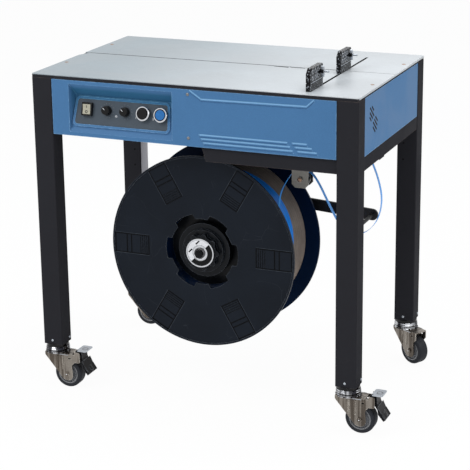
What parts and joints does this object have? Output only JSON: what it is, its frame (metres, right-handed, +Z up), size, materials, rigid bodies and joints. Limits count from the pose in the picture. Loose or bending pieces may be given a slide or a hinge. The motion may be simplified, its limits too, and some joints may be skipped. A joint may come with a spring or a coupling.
{
  "type": "strapping machine",
  "caption": "Semi-automatic strapping table on braked casters, with a control panel, sliding package stops and a strap reel below.",
  "frame": {"origin": "middle of the footprint on the floor, casters included", "axes": "+X to the right along the front, +Y to the back, +Z up"},
  "size_m": [0.977, 0.5778, 0.932],
  "materials": {
    "frame_paint": "satin",
    "panel_paint": "satin",
    "table_steel": "brushed",
    "control_plate": "matte",
    "black_plastic": "matte",
    "rocker_plastic": "gloss",
    "ring_chrome": "polished",
    "button_blue": "gloss",
    "flange_plastic": "satin",
    "flange_navy": "satin",
    "coil_strap": "satin",
    "strap_blue": "gloss",
    "hub_paint": "satin",
    "shaft_steel": "satin",
    "bracket_paint": "satin",
    "zinc_steel": "satin",
    "fork_nickel": "bright",
    "wheel_grey": "matte",
    "tyre_rubber": "matte",
    "pedal_black": "satin"
  },
  "bodies": {
    "machine": {"button_barrels": "black_plastic", "button_rings": "ring_chrome", "caster_stems": "black_plastic", "control_plate": "control_plate", "floor_plate": "frame_paint", "front_panel": "panel_paint", "legs": "frame_paint", "lower_tray": "frame_paint", "outer_panels": "panel_paint", "reel_bracket": "bracket_paint", "reel_shaft": "shaft_steel", "right_rail": "frame_paint", "roller_bracket": "zinc_steel", "strap": "strap_blue", "strapping_head": "frame_paint", "switch_frame": "black_plastic", "table_back_plate": "table_steel", "table_front_plate": "table_steel", "top_frame": "frame_paint"},
    "reel": {"reel_front_flange": "flange_plastic", "reel_back_flange": "flange_navy", "reel_drum": "flange_navy", "strap_coil": "coil_strap", "hub_disc": "hub_paint", "reel_hub": "hub_paint", "hub_cap": "ring_chrome"},
    "brake_arm": {"brake_arm": "bracket_paint"},
    "guide_roller": {"guide_roller": "black_plastic"},
    "stop_front": {"package_stop_front": "frame_paint"},
    "stop_back": {"package_stop_back": "frame_paint"},
    "switch_rocker": {"switch_rocker": "rocker_plastic"},
    "knob_left": {"knob_left": "black_plastic"},
    "knob_right": {"knob_right": "black_plastic"},
    "button_black": {"button_black": "black_plastic"},
    "button_blue": {"button_blue": "button_blue"},
    "caster_front_left": {"fork_front_left": "fork_nickel"},
    "wheel_front_left": {"wheel_hub_front_left": "wheel_grey", "tyre_front_left": "tyre_rubber"},
    "pedal_front_left": {"brake_pedal_front_left": "pedal_black", "brake_tab_front_left": "zinc_steel"},
    "caster_front_right": {"fork_front_right": "fork_nickel"},
    "wheel_front_right": {"wheel_hub_front_right": "wheel_grey", "tyre_front_right": "tyre_rubber"},
    "pedal_front_right": {"brake_pedal_front_right": "pedal_black", "brake_tab_front_right": "zinc_steel"},
    "caster_back_left": {"fork_back_left": "fork_nickel"},
    "wheel_back_left": {"wheel_hub_back_left": "wheel_grey", "tyre_back_left": "tyre_rubber"},
    "caster_back_right": {"fork_back_right": "fork_nickel"},
    "wheel_back_right": {"wheel_hub_back_right": "wheel_grey", "tyre_back_right": "tyre_rubber"}
  },
  "joints": [
    {"name": "reel_spin", "type": "hinge", "parent": "machine", "child": "reel", "pos_m": [-0.0455, -0.10088, 0.4115], "axis": [0, 1, 0], "continuous": true},
    {"name": "brake_arm_swing", "type": "hinge", "parent": "machine", "child": "brake_arm", "pos_m": [0.0605, 0.04412, 0.51], "axis": [0, 1, 0], "range_deg": [-22, 0]},
    {"name": "guide_roller_spin", "type": "hinge", "parent": "machine", "child": "guide_roller", "pos_m": [0.2055, -0.11488, 0.616], "axis": [0, 1, 0], "continuous": true},
    {"name": "stop_front_slide", "type": "slide", "parent": "machine", "child": "stop_front", "axis": [0, 1, 0], "range_m": [0, 0.06]},
    {"name": "stop_back_slide", "type": "slide", "parent": "machine", "child": "stop_back", "axis": [0, 1, 0], "range_m": [-0.06, 0.14]},
    {"name": "switch_rock", "type": "hinge", "parent": "machine", "child": "switch_rocker", "pos_m": [-0.3325, -0.26833, 0.7891], "axis": [1, 0, 0], "range_deg": [-14, 0]},
    {"name": "knob_left_turn", "type": "hinge", "parent": "machine", "child": "knob_left", "pos_m": [-0.2765, -0.26833, 0.7891], "axis": [0, -0.965, 0.2621], "range_deg": [-140, 140]},
    {"name": "knob_right_turn", "type": "hinge", "parent": "machine", "child": "knob_right", "pos_m": [-0.2245, -0.26833, 0.7891], "axis": [0, -0.965, 0.2621], "range_deg": [-140, 140]},
    {"name": "button_black_press", "type": "slide", "parent": "machine", "child": "button_black", "axis": [0, 0.965, -0.2621], "range_m": [0, 0.003], "stiffness_N_per_m": 300, "springref_m": -0.001},
    {"name": "button_blue_press", "type": "slide", "parent": "machine", "child": "button_blue", "axis": [0, 0.965, -0.2621], "range_m": [0, 0.003], "stiffness_N_per_m": 300, "springref_m": -0.001},
    {"name": "caster_front_left_swivel", "type": "hinge", "parent": "machine", "child": "caster_front_left", "pos_m": [-0.4565, -0.25688, 0.1], "axis": [0, 0, 1], "continuous": true},
    {"name": "wheel_front_left_spin", "type": "hinge", "parent": "caster_front_left", "child": "wheel_front_left", "pos_m": [-0.4205, -0.25688, 0.04], "axis": [0, 1, 0], "continuous": true},
    {"name": "pedal_front_left_press", "type": "hinge", "parent": "caster_front_left", "child": "pedal_front_left", "pos_m": [-0.3865, -0.25688, 0.094], "axis": [0, 1, 0], "range_deg": [0, 12]},
    {"name": "caster_front_right_swivel", "type": "hinge", "parent": "machine", "child": "caster_front_right", "pos_m": [0.3825, -0.25688, 0.1], "axis": [0, 0, 1], "continuous": true},
    {"name": "wheel_front_right_spin", "type": "hinge", "parent": "caster_front_right", "child": "wheel_front_right", "pos_m": [0.4185, -0.25688, 0.04], "axis": [0, 1, 0], "continuous": true},
    {"name": "pedal_front_right_press", "type": "hinge", "parent": "caster_front_right", "child": "pedal_front_right", "pos_m": [0.4525, -0.25688, 0.094], "axis": [0, 1, 0], "range_deg": [0, 12]},
    {"name": "caster_back_left_swivel", "type": "hinge", "parent": "machine", "child": "caster_back_left", "pos_m": [-0.4565, 0.25612, 0.1], "axis": [0, 0, 1], "continuous": true},
    {"name": "wheel_back_left_spin", "type": "hinge", "parent": "caster_back_left", "child": "wheel_back_left", "pos_m": [-0.4205, 0.25612, 0.04], "axis": [0, 1, 0], "continuous": true},
    {"name": "caster_back_right_swivel", "type": "hinge", "parent": "machine", "child": "caster_back_right", "pos_m": [0.3825, 0.25612, 0.1], "axis": [0, 0, 1], "continuous": true},
    {"name": "wheel_back_right_spin", "type": "hinge", "parent": "caster_back_right", "child": "wheel_back_right", "pos_m": [0.41368, 0.23812, 0.04], "axis": [0.5, 0.866, 0], "continuous": true}
  ]
}
